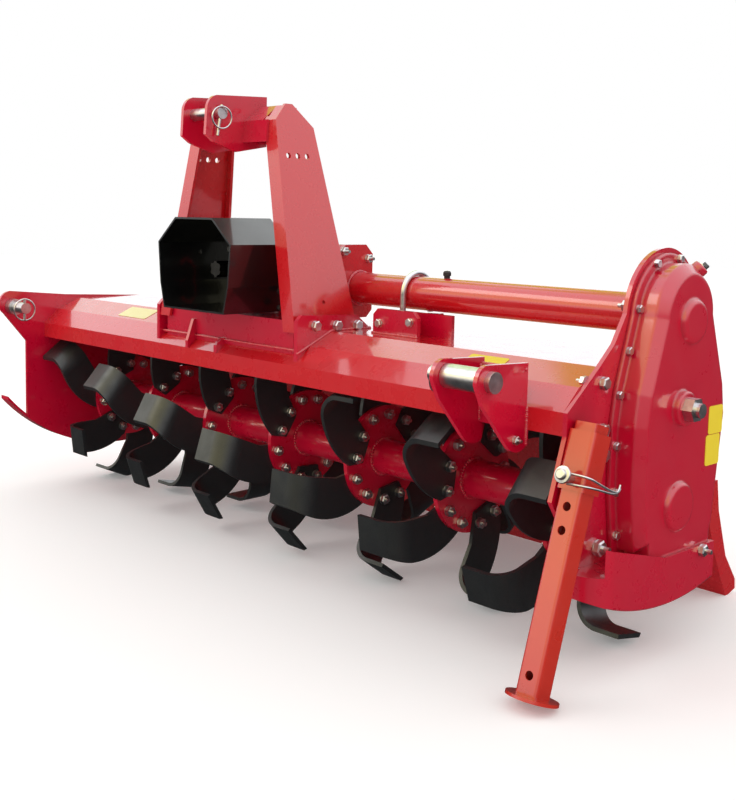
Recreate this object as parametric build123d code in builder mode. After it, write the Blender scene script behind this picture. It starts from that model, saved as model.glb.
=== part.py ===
"""Rotary tiller for a three-point hitch, in millimetres.

Every size is measured from the rotor axis: X runs along the rotor towards the gear case, -Y points at
the tractor and Z points up.  save() then moves each piece so that the floor is at Z = 0, with the
origin in the middle of the machine's outline.
"""
from build123d import *
from math import atan2, cos, degrees, radians, sin
import os

os.makedirs("parts", exist_ok=True)

# ---------------------------------------------------------------- rotor and tines
flange_count = 7
flange_pitch = 240.0
flange_radius = 106.0
flange_thick = 10.0
rotor_tube_radius = 37.0
rotor_tube_overhang = 52.0      # tube beyond the outer flanges
journal_radius = 20.0
journal_clearance = 0.05        # radial, in the two rotor bearings
journal_seat = 24.0             # depth of the bearing in the gear case
journal_end_gap = 1.0
tine_tip_radius = 236.0
tine_reach = 98.0               # foot, sideways from the middle of its flange
tine_thick = 8.0
tine_bend_radius = 46.0         # outside of the bend between shank and foot
tine_foot_width = 68.0
tine_foot_lead = 34.0           # foot's trailing edge ahead of the radius it is square to
tine_sets = 3                   # tines on each side of a flange
tine_stagger = 12.0             # degrees from one flange to the next
tine_first_angle = -35.5        # degrees below the front of the first flange
tine_gap = 0.1                  # between a tine's shank and its flange
axle_height = tine_tip_radius   # the machine parks on its tines

# ---------------------------------------------------------------- deck and end plates
plate_thick = 8.0
left_end_gap = 7.0              # between the last tines and the end plates
right_end_gap = 6.0
deck_sheet = 5.0
lip_y = -200.0
lip_low = 160.0
lip_high = 197.0
crease = (-160.0, 233.0)
shoulder_y = -100.0
deck_top = 260.0
deck_rear_y = 150.0
deck_rear_edge = (208.0, 226.0)
plate_front_y = -252.0
plate_belly_y = 4 - tine_tip_radius         # the right plate reaches past the tines
plate_rear_y = 235.0
skid_low = -150.0
skid_radius = 450.0
skid_centre_y = 30.0
skid_front_y = -305.0
skid_rear_y = 150.0
skid_wide = 40.0
skid_thick = 6.0
half_rotor = (flange_count - 1) / 2 * flange_pitch
left_plate_x = -(half_rotor + tine_reach + left_end_gap + plate_thick)      # outer faces
right_plate_x = half_rotor + tine_reach + right_end_gap + plate_thick

# ---------------------------------------------------------------- trailing board
hinge_y = 222.0
hinge_z = 212.0
hinge_pin_radius = 7.0
hinge_clearance = 0.1
knuckle_radius = 13.0
hinge_xs = (-660.0, -330.0, 0.0, 330.0, 660.0)
deck_knuckle_width = 56.0
board_knuckle_width = 38.0
knuckle_gap = 1.5
board_sheet = 4.0
board_crease = (340.0, -125.0)
board_foot_y = 400.0
board_rib_rear_y = 438.0
board_side_gap = 27.0
board_lift = 55.0               # degrees that the board can swing up

# ---------------------------------------------------------------- gearbox and drive
gearbox_x = -60.0
gearbox_half_width = 90.0
gearbox_front_y = -115.0
gearbox_rear_y = 70.0
gearbox_low = 270.0
gearbox_high = 440.0
pto_z = 376.0
pto_radius = 17.5
pto_length = 95.0
pto_clearance = 0.05
drive_tube_y = 34.0
drive_tube_z = 340.0
drive_tube_radius = 34.0
drive_neck_radius = 52.0
drive_flange_x = 114.0          # joint between the gearbox's neck and the drive tube
drive_flange_thick = 12.0
gear_flange_thick = 8.0
gear_flange_margin = 16.0       # flange beyond the cover all round
gear_cover_depth = 46.0
gear_bevel = 16.0
idler = (42.0, 188.0)
idler_boss = 12.0
idler_nut_thick = 17.0
idler_stud = 9.0
gear_case_low = -58.0
pan_low = -140.0                # guard pan below the gear case
pan_radius = 556.0
pan_front_y = -184.0
pan_rear_y = 164.0
pan_corner = 42.0
pan_wall = 5.0
bearing_radius = 58.0
bearing_depth = 26.0

# ---------------------------------------------------------------- hitch
mast_base_half = 236.0          # outer faces of the mast webs, from the middle of the gearbox
mast_top_half = 133.0
mast_base_z = deck_top
mast_top_z = 718.0
mast_wall = 7.0
mast_flange = 36.0
seat_gap = 0.3                  # between pieces that are set in from the side
hitch_pin_y = -292.0
lower_pin_z = 244.0
lower_pin_radius = 14.0
top_pin_y = -239.0
top_pin_z = mast_top_z - 22
top_pin_radius = 12.5
pin_clearance = 0.1
ear_thick = 8.0
top_ear_gap = 74.0
top_ear_front_y = -267.0
bracket_right_x = right_plate_x - 77        # outer faces of the right lower bracket's ears
bracket_left_x = bracket_right_x - 97

# ---------------------------------------------------------------- PTO guard
guard_front_y = -268.0
guard_wall = 4.0

# ---------------------------------------------------------------- parking stand
leg_width = 40.0
leg_wall = 4.0
leg_clearance = 0.5
socket_wall = 4.5
leg_lean = 17.6                 # degrees that the leg's foot leans forward
foot_y = -297.0
foot_radius = 41.0
foot_thick = 5.0
socket_low = 79.0
socket_high = 168.0
leg_top = 181.0
lock_pin_radius = 7.0
lock_pin_z = 95.0
lock_pin_length = 26.0
leg_hole_zs = (55.0, 20.0, -190.0)

# ---------------------------------------------------------------- where the origin lies
skid_left_x = left_plate_x + plate_thick - skid_wide
stud_end_x = right_plate_x + gear_flange_thick + gear_cover_depth + idler_boss + idler_nut_thick + idler_stud
foot_front_y = foot_y - foot_radius * cos(radians(leg_lean))
origin_x = (skid_left_x + stud_end_x) / 2
origin_y = (foot_front_y + board_rib_rear_y) / 2


def save(piece, name):
    """Move a finished piece from the rotor's axis to the floor frame and write it."""
    piece = piece.moved(Location((-origin_x, -origin_y, axle_height)))
    piece.label = name
    export_step(piece, f"parts/{name}.step")


def side(x):
    """Sketch plane across the machine: sketch x is Y, sketch y is Z, extrusions go towards +X."""
    return Plane.YZ.offset(x)


def front(y):
    """Sketch plane facing the tractor: sketch x is X, sketch y is Z, extrusions go towards -Y."""
    return Plane.XZ.offset(-y)


def level(z):
    return Plane.XY.offset(z)


# ================================================================ rotor
flange_xs = [(i - (flange_count - 1) / 2) * flange_pitch for i in range(flange_count)]
tube_end = flange_xs[-1] + rotor_tube_overhang
with BuildPart() as rotor_shaft:
    with BuildSketch(side(-tube_end)):
        Circle(rotor_tube_radius)
    extrude(amount=2 * tube_end)
    for x in flange_xs:
        with BuildSketch(side(x - flange_thick / 2)):
            Circle(flange_radius)
        extrude(amount=flange_thick)
    journal_left_x = left_plate_x - bearing_depth + 6
    journal_right_x = right_plate_x + gear_flange_thick + journal_seat - journal_end_gap
    with BuildSketch(side(journal_left_x)):
        Circle(journal_radius)
    extrude(amount=journal_right_x - journal_left_x)
save(rotor_shaft.part, "rotor_shaft")

# A tine is an L of flat bar, cut to its outline.  Its own frame has u square to the foot's face
# and v along the foot's width; the foot's leading corner reaches the tip radius.
foot_lead_v = tine_foot_lead + tine_foot_width
foot_face_u = (tine_tip_radius ** 2 - foot_lead_v ** 2) ** 0.5
shank_face = flange_thick / 2 + tine_gap


def tine_blank():
    """One tine on the +X side of a flange at X = 0, with its foot square to +Y of the sketch."""
    with BuildPart() as blank:
        with BuildSketch(Plane.XY.offset(18)):
            with BuildLine():
                Polyline(
                    (shank_face, 20), (shank_face + tine_thick, 20),
                    (shank_face + tine_thick, foot_face_u - tine_bend_radius),
                )
                RadiusArc(
                    (shank_face + tine_thick, foot_face_u - tine_bend_radius),
                    (shank_face + tine_bend_radius, foot_face_u - tine_thick),
                    tine_bend_radius - tine_thick,
                )
                Polyline(
                    (shank_face + tine_bend_radius, foot_face_u - tine_thick),
                    (tine_reach, foot_face_u - tine_thick),
                    (tine_reach, foot_face_u),
                    (shank_face + tine_bend_radius, foot_face_u),
                )
                RadiusArc(
                    (shank_face + tine_bend_radius, foot_face_u),
                    (shank_face, foot_face_u - tine_bend_radius),
                    -tine_bend_radius,
                )
                Line((shank_face, foot_face_u - tine_bend_radius), (shank_face, 20))
            make_face()
        extrude(amount=120)
        with BuildSketch(Plane.YZ):
            with BuildLine():
                Polyline((62, 27), (25, 64), (40, 98))
                ThreePointArc((40, 98), (125, 124), (foot_face_u + 1, foot_lead_v))
                Polyline(
                    (foot_face_u + 1, foot_lead_v), (foot_face_u + 1, tine_foot_lead), (120, 42), (62, 27)
                )
            make_face()
        extrude(amount=tine_reach + 10, mode=Mode.INTERSECT)
    return blank.part


# the blank's u axis is +Y and its v axis is +Z: turned about X, u comes to lie in the foot's direction
foot_skew = degrees(atan2(tine_foot_lead + tine_foot_width / 2, foot_face_u))
right_tine = tine_blank()
left_tine = right_tine.mirror(Plane.YZ)
tine_solids = []
for number, x in enumerate(flange_xs):
    for step in range(tine_sets):
        foot_angle = tine_first_angle + number * tine_stagger + step * 360 / tine_sets
        for blank, turn in ((left_tine, 0), (right_tine, 180 / tine_sets)):
            angle = 180 + foot_angle + turn - foot_skew
            tine_solids.append(blank.rotate(Axis.X, angle).moved(Location((x, 0, 0))))
save(Compound(children=tine_solids), "tines")

# ================================================================ deck
with BuildPart() as deck:
    with BuildSketch(side(left_plate_x + plate_thick)):
        with BuildLine():
            skin = Polyline(
                (lip_y, lip_low), (lip_y, lip_high), crease, (shoulder_y, deck_top),
                (deck_rear_y, deck_top), deck_rear_edge,
            )
            offset(skin, amount=deck_sheet, side=Side.RIGHT)
        make_face()
    extrude(amount=right_plate_x - left_plate_x - 2 * plate_thick)
    for x in hinge_xs:
        with BuildSketch(side(x - deck_knuckle_width / 2)):
            with Locations((hinge_y, hinge_z)):
                Circle(knuckle_radius)
            with BuildLine():
                Polyline((deck_rear_edge[0] - 8, deck_rear_edge[1] + 2), deck_rear_edge,
                         (hinge_y + 4, hinge_z + 11), (hinge_y - 12, hinge_z),
                         (deck_rear_edge[0] - 8, deck_rear_edge[1] - 2), close=True)
            make_face()
            with Locations((hinge_y, hinge_z)):
                Circle(hinge_pin_radius + hinge_clearance, mode=Mode.SUBTRACT)
        extrude(amount=deck_knuckle_width)
save(deck.part, "deck")


def facet_z(y):
    """Height of the deck's front facet between the lip and the crease."""
    return lip_high + (y - lip_y) * (crease[1] - lip_high) / (crease[0] - lip_y)


# ================================================================ end plates
skid_centre_z = skid_low + skid_radius


def skid_point(radius, y):
    """Point of an arc about the skid's centre."""
    return (y, skid_centre_z - (radius ** 2 - (y - skid_centre_y) ** 2) ** 0.5)


inner_arc = skid_radius - skid_thick
with BuildPart() as left_end_plate:
    with BuildSketch(side(left_plate_x)):
        with BuildLine():
            Polyline(skid_point(inner_arc, plate_front_y), (plate_front_y, 152), (-314, 226))
            ThreePointArc((-314, 226), (-326, 258), (-298, 284))
            Polyline((-298, 284), (-140, 270), (plate_rear_y, 254), (plate_rear_y, 120),
                     skid_point(inner_arc, skid_rear_y))
            ThreePointArc(skid_point(inner_arc, skid_rear_y), skid_point(inner_arc, skid_centre_y),
                          skid_point(inner_arc, plate_front_y))
        make_face()
        with Locations((hitch_pin_y, lower_pin_z)):
            Circle(lower_pin_radius + pin_clearance, mode=Mode.SUBTRACT)
        Circle(journal_radius + 6, mode=Mode.SUBTRACT)
    extrude(amount=plate_thick)
save(left_end_plate.part, "left_end_plate")

with BuildPart() as left_skid:
    with BuildSketch(side(left_plate_x + plate_thick - skid_wide)):
        with BuildLine():
            ThreePointArc(skid_point(skid_radius, skid_front_y), skid_point(skid_radius, -120),
                          skid_point(skid_radius, skid_rear_y))
            Line(skid_point(skid_radius, skid_rear_y), skid_point(inner_arc, skid_rear_y))
            ThreePointArc(skid_point(inner_arc, skid_rear_y), skid_point(inner_arc, -120),
                          skid_point(inner_arc, skid_front_y))
            Line(skid_point(inner_arc, skid_front_y), skid_point(skid_radius, skid_front_y))
        make_face()
    extrude(amount=skid_wide)
save(left_skid.part, "left_skid")

with BuildPart() as right_end_plate:
    with BuildSketch(side(right_plate_x - plate_thick)):
        with BuildLine():
            Polyline((lip_y, lip_low), (lip_y, lip_high), (-118, 262), (-79, 296), (-48, 344))
            ThreePointArc((-48, 344), (-18, 412), (56, 449))
            ThreePointArc((56, 449), (134, 424), (166, 352))
            Polyline((166, 352), (plate_rear_y, 254), (plate_rear_y, 120), (192, gear_case_low),
                     (-150, gear_case_low), (plate_belly_y, 62), (lip_y, lip_low))
        make_face()
        Circle(journal_radius + 6, mode=Mode.SUBTRACT)
    extrude(amount=plate_thick)
save(right_end_plate.part, "right_end_plate")

# ================================================================ rotor bearings
left_bearing_x = left_plate_x - bearing_depth
with BuildPart() as left_bearing:
    with BuildSketch(side(left_bearing_x)):
        Circle(bearing_radius)
        Circle(journal_radius + journal_clearance, mode=Mode.SUBTRACT)
    extrude(amount=bearing_depth)
save(left_bearing.part, "left_bearing")

# ================================================================ gear case on the right plate
def gear_outline():
    """Outline of the gear case's flange, leaning back a little at the top."""
    with BuildSketch() as outline:
        with BuildLine():
            Polyline((186, gear_case_low), (-72, gear_case_low), (-88, 60), (-88, 165), (-79, 222),
                     (-40, 342))
            ThreePointArc((-40, 342), (-12, 406), (56, 441))
            ThreePointArc((56, 441), (127, 415), (160, 345))
            Polyline((160, 345), (204, 225), (214, 165), (203, 80), (186, gear_case_low))
        make_face()
    return outline.sketch


gear_flange_x = right_plate_x + gear_flange_thick
gear_face_x = gear_flange_x + gear_cover_depth
with BuildPart() as gear_case:
    with BuildSketch(side(right_plate_x)):
        add(gear_outline())
        Circle(journal_radius + 6, mode=Mode.SUBTRACT)
    extrude(amount=gear_flange_thick)
    with BuildSketch(side(gear_flange_x)):
        offset(gear_outline(), amount=-gear_flange_margin, kind=Kind.INTERSECTION)
    extrude(amount=gear_cover_depth - gear_bevel)
    with BuildSketch(side(gear_face_x - gear_bevel)):
        offset(gear_outline(), amount=-gear_flange_margin, kind=Kind.INTERSECTION)
    extrude(amount=gear_bevel, taper=45)
    # the face runs down behind the guard pan
    with BuildSketch(side(gear_flange_x)):
        with BuildLine():
            Polyline((-40, 0), (-36, gear_case_low), (152, gear_case_low), (158, 0), close=True)
        make_face()
    extrude(amount=gear_cover_depth)
    bulges = (
        # centre,     radius, height, rounding
        ((64, 330), 38.0, 9.0, 8.0),
        ((44, 22), 42.0, 9.0, 8.0),
        (idler, 30.0, idler_boss, 3.0),
    )
    for centre, radius, height, rounding in bulges:
        with BuildSketch(side(gear_face_x - 1)):
            with Locations(centre):
                Circle(radius)
        extrude(amount=height + 1, taper=8)
        fillet(gear_case.faces(Select.LAST).sort_by(Axis.X)[-1].edges(), radius=rounding)
    with BuildSketch(side(gear_flange_x)):
        Circle(journal_radius + journal_clearance)
    extrude(amount=journal_seat, mode=Mode.SUBTRACT)
save(gear_case.part, "gear_case")

idler_face_x = gear_face_x + idler_boss
with BuildPart() as idler_nut:
    with BuildSketch(side(idler_face_x)):
        with Locations(idler):
            RegularPolygon(radius=21, side_count=6)
    extrude(amount=idler_nut_thick)
    with BuildSketch(side(idler_face_x + idler_nut_thick)):
        with Locations(idler):
            Circle(12)
    extrude(amount=idler_stud)
save(idler_nut.part, "idler_nut")

pan_centre_z = pan_low + pan_radius


def pan_point(y):
    """Point of the pan's underside."""
    return (y, pan_centre_z - (pan_radius ** 2 - (y - skid_centre_y) ** 2) ** 0.5)


pan_face_x = gear_face_x + seat_gap + pan_wall
with BuildPart() as gear_pan:
    with BuildSketch(side(right_plate_x)):
        with BuildLine():
            ThreePointArc(pan_point(pan_front_y), pan_point(0), pan_point(pan_rear_y))
            Polyline(pan_point(pan_rear_y), (pan_rear_y, gear_case_low), (pan_front_y, gear_case_low),
                     pan_point(pan_front_y))
        make_face()
    extrude(amount=pan_face_x - right_plate_x)
    fillet(gear_pan.edges().filter_by(GeomType.CIRCLE).sort_by(Axis.X)[-1], radius=pan_wall)
    # outer wall, which laps the foot of the gear case
    with BuildSketch(side(pan_face_x - pan_wall)):
        with BuildLine():
            Polyline((pan_front_y, gear_case_low - 6), (pan_front_y + 5, -8), (-138, -20),
                     (10, gear_case_low), (10, gear_case_low - 6), (pan_front_y, gear_case_low - 6))
        make_face()
    extrude(amount=pan_wall)
    # seen from above, the front corner is a wide bend
    with BuildSketch(level(pan_low - 1)):
        with BuildLine():
            Polyline((right_plate_x, pan_front_y), (right_plate_x, pan_rear_y), (pan_face_x, pan_rear_y),
                     (pan_face_x, pan_front_y + pan_corner))
            ThreePointArc((pan_face_x, pan_front_y + pan_corner),
                          (pan_face_x - 0.29 * pan_corner, pan_front_y + 0.29 * pan_corner),
                          (pan_face_x - pan_corner, pan_front_y))
            Line((pan_face_x - pan_corner, pan_front_y), (right_plate_x, pan_front_y))
        make_face()
    extrude(amount=200, mode=Mode.INTERSECT)
save(gear_pan.part, "gear_pan")

# ================================================================ gearbox and drive tube
def drive_flange():
    """Outline of the two flanges between the gearbox's neck and the drive tube."""
    with BuildSketch() as outline:
        with BuildLine():
            Polyline((-28, 276), (56, 276), (72, 292), (72, 412), (52, 432), (-8, 432), (-28, 412),
                     close=True)
        make_face()
    return outline.sketch


with BuildPart() as gearbox:
    with BuildSketch(level(gearbox_low)):
        with Locations((gearbox_x, (gearbox_front_y + gearbox_rear_y) / 2)):
            RectangleRounded(2 * gearbox_half_width, gearbox_rear_y - gearbox_front_y, 22)
    extrude(amount=gearbox_high - gearbox_low)
    fillet(gearbox.faces().sort_by(Axis.Z)[-1].outer_wire().edges(), radius=16)
    # base flange on the deck
    with BuildSketch(level(deck_top)):
        with Locations((gearbox_x, (gearbox_front_y + gearbox_rear_y) / 2 + 15)):
            Rectangle(2 * gearbox_half_width + 50, gearbox_rear_y - gearbox_front_y - 10)
    extrude(amount=gearbox_low - deck_top)
    # cover of the change gears at the rear
    with BuildSketch(front(gearbox_rear_y)):
        with Locations((gearbox_x, 355)):
            RectangleRounded(130, 140, 30)
    extrude(amount=-34)
    # neck and flange that carry the drive tube
    with BuildSketch(side(gearbox_x + gearbox_half_width - 1)):
        with Locations((drive_tube_y, drive_tube_z)):
            Circle(drive_neck_radius)
    extrude(amount=drive_flange_x - gearbox_x - gearbox_half_width + 1)
    with BuildSketch(side(drive_flange_x - drive_flange_thick)):
        add(drive_flange())
    extrude(amount=drive_flange_thick)
    # bore of the input shaft
    with BuildSketch(front(gearbox_front_y)):
        with Locations((gearbox_x, pto_z)):
            Circle(pto_radius + 8)
    extrude(amount=-30, mode=Mode.SUBTRACT)
save(gearbox.part, "gearbox")

with BuildPart() as drive_tube:
    with BuildSketch(side(drive_flange_x)):
        with Locations((drive_tube_y, drive_tube_z)):
            Circle(drive_tube_radius)
            Circle(drive_tube_radius - 6, mode=Mode.SUBTRACT)
    extrude(amount=right_plate_x - plate_thick - drive_flange_x)
    with BuildSketch(side(drive_flange_x)):
        add(drive_flange())
    extrude(amount=drive_flange_thick)
save(drive_tube.part, "drive_tube")

with BuildPart() as input_seal:
    with BuildSketch(front(gearbox_front_y + 30)):
        with Locations((gearbox_x, pto_z)):
            Circle(pto_radius + 8)
            Circle(pto_radius + pto_clearance, mode=Mode.SUBTRACT)
    extrude(amount=30)
save(input_seal.part, "input_seal")

spline_count = 6
with BuildPart() as pto_shaft:
    with BuildSketch(front(gearbox_front_y + 29)):
        with Locations((gearbox_x, pto_z)):
            Circle(pto_radius)
    extrude(amount=29 + pto_length)
    with BuildSketch(front(gearbox_front_y - 16)):
        with Locations((gearbox_x, pto_z)):
            with PolarLocations(pto_radius, spline_count):
                Rectangle(5.6, 8.6)
    extrude(amount=pto_length, mode=Mode.SUBTRACT)
save(pto_shaft.part, "pto_shaft")

# ================================================================ PTO guard
def guard_outline():
    """Eight-sided outline of the PTO guard, about the middle of the gearbox."""
    half = [(65, 484), (128, 431), (120, 345), (106, 290)]
    corners = [(gearbox_x + x, z) for x, z in half]
    corners += [(gearbox_x - x, z) for x, z in reversed(half)]
    with BuildSketch() as outline:
        with BuildLine():
            Polyline(*corners, close=True)
        make_face()
    return outline.sketch


guard_depth = gearbox_front_y - guard_front_y
with BuildPart() as pto_guard:
    with BuildSketch(front(gearbox_front_y)):
        add(guard_outline())
    extrude(amount=guard_depth)
    with BuildSketch(front(gearbox_front_y - guard_wall)):
        offset(guard_outline(), amount=-guard_wall)
    extrude(amount=guard_depth, mode=Mode.SUBTRACT)
    with BuildSketch(front(gearbox_front_y)):
        with Locations((gearbox_x, pto_z)):
            Circle(pto_radius + 20)
    extrude(amount=guard_wall, mode=Mode.SUBTRACT)
save(pto_guard.part, "pto_guard")

# ================================================================ masts and hitch
mast_front_base_y = -190.0
mast_rear_base_y = -18.0
mast_front_top_y = -165.0
mast_rear_top_y = -72.0
mast_rear_flange = 22.0
mast_slope_z = mast_top_z - 34
mast_hole_ys = (-95.0, -120.0, -145.0)


def channel(outer_x, front_y, rear_y):
    """Corner points of a mast's C section, open towards the gearbox."""
    inner_x = outer_x - mast_wall
    return [
        (outer_x, front_y), (outer_x, rear_y),
        (outer_x - mast_rear_flange, rear_y), (outer_x - mast_rear_flange, rear_y - mast_wall),
        (inner_x, rear_y - mast_wall), (inner_x, front_y + mast_wall),
        (outer_x - mast_flange, front_y + mast_wall), (outer_x - mast_flange, front_y),
    ]


with BuildPart() as right_mast:
    with BuildSketch(level(mast_base_z)):
        with BuildLine():
            Polyline(*channel(gearbox_x + mast_base_half, mast_front_base_y, mast_rear_base_y), close=True)
        make_face()
    with BuildSketch(level(mast_top_z)):
        with BuildLine():
            Polyline(*channel(gearbox_x + mast_top_half, mast_front_top_y, mast_rear_top_y), close=True)
        make_face()
    loft(ruled=True)
    # both corners of the mast's top, its three upper holes and the lower one
    with BuildSketch(side(gearbox_x)):
        with BuildLine():
            Polyline((-118, mast_top_z + 1), (-60, mast_top_z + 1), (-60, mast_top_z - 52), close=True)
        make_face()
        with BuildLine():
            Polyline((mast_front_top_y - 9, mast_slope_z - 8), (-134, mast_top_z + 1),
                     (mast_front_top_y - 9, mast_top_z + 1), close=True)
        make_face()
        with Locations(*[(y, mast_top_z - 106) for y in mast_hole_ys]):
            Circle(6)
        with Locations((-102, 317)):
            Circle(4)
    extrude(amount=mast_base_half, mode=Mode.SUBTRACT)
    # sloping cap between the front flange and the web
    with BuildSketch(side(gearbox_x + mast_top_half - mast_flange + 8)):
        with BuildLine():
            Polyline((mast_front_top_y, mast_slope_z - 4), (-136, mast_top_z - 3), (-132, mast_top_z - 7),
                     (mast_front_top_y + 4, mast_slope_z - 8), close=True)
        make_face()
    extrude(amount=mast_flange - 8)
save(right_mast.part, "right_mast")
mid_plane = Plane.YZ.offset(gearbox_x)
save(right_mast.part.mirror(mid_plane), "left_mast")

bracket_thick = 10.0
with BuildPart() as right_mast_bracket:
    with BuildSketch(side(gearbox_x + mast_base_half)):
        with BuildLine():
            Polyline((-192, facet_z(-192)), crease, (shoulder_y, deck_top), (10, deck_top), (-30, 290),
                     (-180, 296), (-192, 284), close=True)
        make_face()
    extrude(amount=bracket_thick)
save(right_mast_bracket.part, "right_mast_bracket")
save(right_mast_bracket.part.mirror(mid_plane), "left_mast_bracket")

beam_half = mast_base_half - mast_wall - 8
with BuildPart() as cross_beam:
    with BuildSketch(side(gearbox_x - beam_half)):
        with BuildLine():
            Polyline((-180, facet_z(-180)), (-180, 282), (-128, 282), (-128, 276), (-174, 276),
                     (-174, facet_z(-174)), close=True)
        make_face()
    extrude(amount=2 * beam_half)
    # two webs stand the beam's shelf on the deck
    for x in (gearbox_x - 120, gearbox_x + 112):
        with BuildSketch(side(x)):
            with BuildLine():
                Polyline((-174, facet_z(-174)), crease, (-128, 247.4), (-128, 276), (-174, 276), close=True)
            make_face()
        extrude(amount=8)
    # two ribs stiffen its front against the lip
    for x, top in ((-178, 260), (-74, 228)):
        with BuildSketch(side(x)):
            with BuildLine():
                Polyline((lip_y, lip_high), (-180, facet_z(-180)), (-180, top), (-187, top),
                         (lip_y - 3, lip_high + 16), (lip_y - 3, lip_high), close=True)
            make_face()
        extrude(amount=9)
save(cross_beam.part, "cross_beam")


def mast_inside(z):
    """Half the width between the mast webs at a height, less the gap at each side."""
    lean_in = (mast_base_half - mast_top_half) / (mast_top_z - mast_base_z)
    return mast_base_half - (z - mast_base_z) * lean_in - mast_wall - seat_gap


top_half = top_ear_gap / 2 + ear_thick
box_low_z = mast_top_z - 78
box_high_z = mast_top_z - 6
front_lean = (mast_front_top_y - mast_front_base_y) / (mast_top_z - mast_base_z)
with BuildPart() as top_hitch:
    for x in (gearbox_x - top_half, gearbox_x + top_half - ear_thick):
        with BuildSketch(side(x)):
            with BuildLine():
                Polyline((-112, mast_top_z + 20), (top_ear_front_y + 23, top_pin_z + 36))
                ThreePointArc((top_ear_front_y + 23, top_pin_z + 36), (top_ear_front_y + 7, top_pin_z + 26),
                              (top_ear_front_y, top_pin_z + 8))
                Polyline((top_ear_front_y, top_pin_z + 8), (top_ear_front_y - 3, top_pin_z - 44),
                         (top_ear_front_y + 17, top_pin_z - 58), (-190, top_pin_z - 76),
                         (-112, box_low_z - 6), (-112, mast_top_z + 20))
            make_face()
            with Locations((top_pin_y, top_pin_z)):
                Circle(top_pin_radius + pin_clearance, mode=Mode.SUBTRACT)
        extrude(amount=ear_thick)
    # plate that joins the two masts behind the ears
    with BuildSketch(front(-100)):
        with BuildLine():
            Polyline((gearbox_x - mast_inside(box_high_z), box_high_z),
                     (gearbox_x + mast_inside(box_high_z), box_high_z),
                     (gearbox_x + mast_inside(box_low_z), box_low_z),
                     (gearbox_x - mast_inside(box_low_z), box_low_z), close=True)
        make_face()
    extrude(amount=12)
    # sloping plate from each ear to its mast, and the plate that laps the mast's front flange
    slope_end = mast_top_half - mast_flange + 5
    for x in (gearbox_x - slope_end, gearbox_x + top_half - ear_thick):
        with BuildSketch(side(x)):
            with BuildLine():
                Polyline((mast_front_top_y - 4, mast_slope_z), (-130, mast_top_z - 2), (-102, mast_top_z - 2),
                         (-102, box_high_z - 2), (-128, box_high_z - 2), (mast_front_top_y, mast_slope_z - 8),
                         (mast_front_top_y - 4, mast_slope_z), close=True)
            make_face()
        extrude(amount=slope_end - top_half + ear_thick)
    lap_end = mast_top_half - 12
    lap_front_y = mast_front_top_y - front_lean * (mast_top_z - mast_slope_z) - seat_gap
    lap_low_y = lap_front_y - front_lean * (mast_slope_z - box_low_z)
    for x in (gearbox_x - lap_end, gearbox_x + top_half - ear_thick):
        with BuildSketch(side(x)):
            with BuildLine():
                Polyline((lap_front_y, mast_slope_z), (lap_low_y, box_low_z), (lap_low_y - 6, box_low_z),
                         (lap_front_y - 6, mast_slope_z), close=True)
            make_face()
        extrude(amount=lap_end - top_half + ear_thick)
save(top_hitch.part, "top_hitch")


def hitch_pin(left_x, right_x, y, z, radius, head_radius, head_thick):
    """Plain pin along X with a round head at its right end."""
    with BuildPart() as pin:
        with BuildSketch(side(left_x)):
            with Locations((y, z)):
                Circle(radius)
        extrude(amount=right_x - left_x)
        with BuildSketch(side(right_x)):
            with Locations((y, z)):
                Circle(head_radius)
        extrude(amount=head_thick)
    return pin.part


def sleeve(left_x, right_x, y, z, inner, outer):
    """Bush around a hitch pin."""
    with BuildPart() as bush:
        with BuildSketch(side(left_x)):
            with Locations((y, z)):
                Circle(outer)
                Circle(inner, mode=Mode.SUBTRACT)
        extrude(amount=right_x - left_x)
    return bush.part


save(hitch_pin(gearbox_x - top_half - 10, gearbox_x + top_half + 14, top_pin_y, top_pin_z,
               top_pin_radius, top_pin_radius, 1), "top_pin")

with BuildPart() as right_lower_bracket:
    for x in (bracket_left_x, bracket_right_x - ear_thick):
        with BuildSketch(side(x)):
            with BuildLine():
                Polyline((lip_y, 267), (-303, 271))
                ThreePointArc((-303, 271), (-319, 261), (-325, 240))
                Polyline((-325, 240), (-309, 208), (-247, 138))
                ThreePointArc((-247, 138), (-225, 126), (lip_y, 133))
                Line((lip_y, 133), (lip_y, 267))
            make_face()
            with Locations((hitch_pin_y, lower_pin_z)):
                Circle(lower_pin_radius + pin_clearance, mode=Mode.SUBTRACT)
        extrude(amount=ear_thick)
    with BuildSketch(side(bracket_left_x)):
        with BuildLine():
            Polyline((lip_y, lip_low), (-208, lip_low), (-208, 256), (-200, 256), close=True)
        make_face()
    extrude(amount=bracket_right_x - bracket_left_x)
save(right_lower_bracket.part, "right_lower_bracket")

save(hitch_pin(bracket_left_x - 22, bracket_right_x, hitch_pin_y, lower_pin_z,
               lower_pin_radius, 17, 10), "right_lower_pin")
save(sleeve(bracket_left_x + ear_thick + 1, bracket_right_x - ear_thick - 1, hitch_pin_y, lower_pin_z,
            lower_pin_radius + pin_clearance, 20), "right_pin_sleeve")
left_pin_end = left_plate_x + 84
save(hitch_pin(left_plate_x - 12, left_pin_end, hitch_pin_y, lower_pin_z,
               lower_pin_radius, lower_pin_radius, 1), "left_lower_pin")
save(sleeve(left_plate_x + plate_thick + 1, left_plate_x + 32, hitch_pin_y, lower_pin_z,
            lower_pin_radius + pin_clearance, 20), "left_pin_sleeve")

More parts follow.
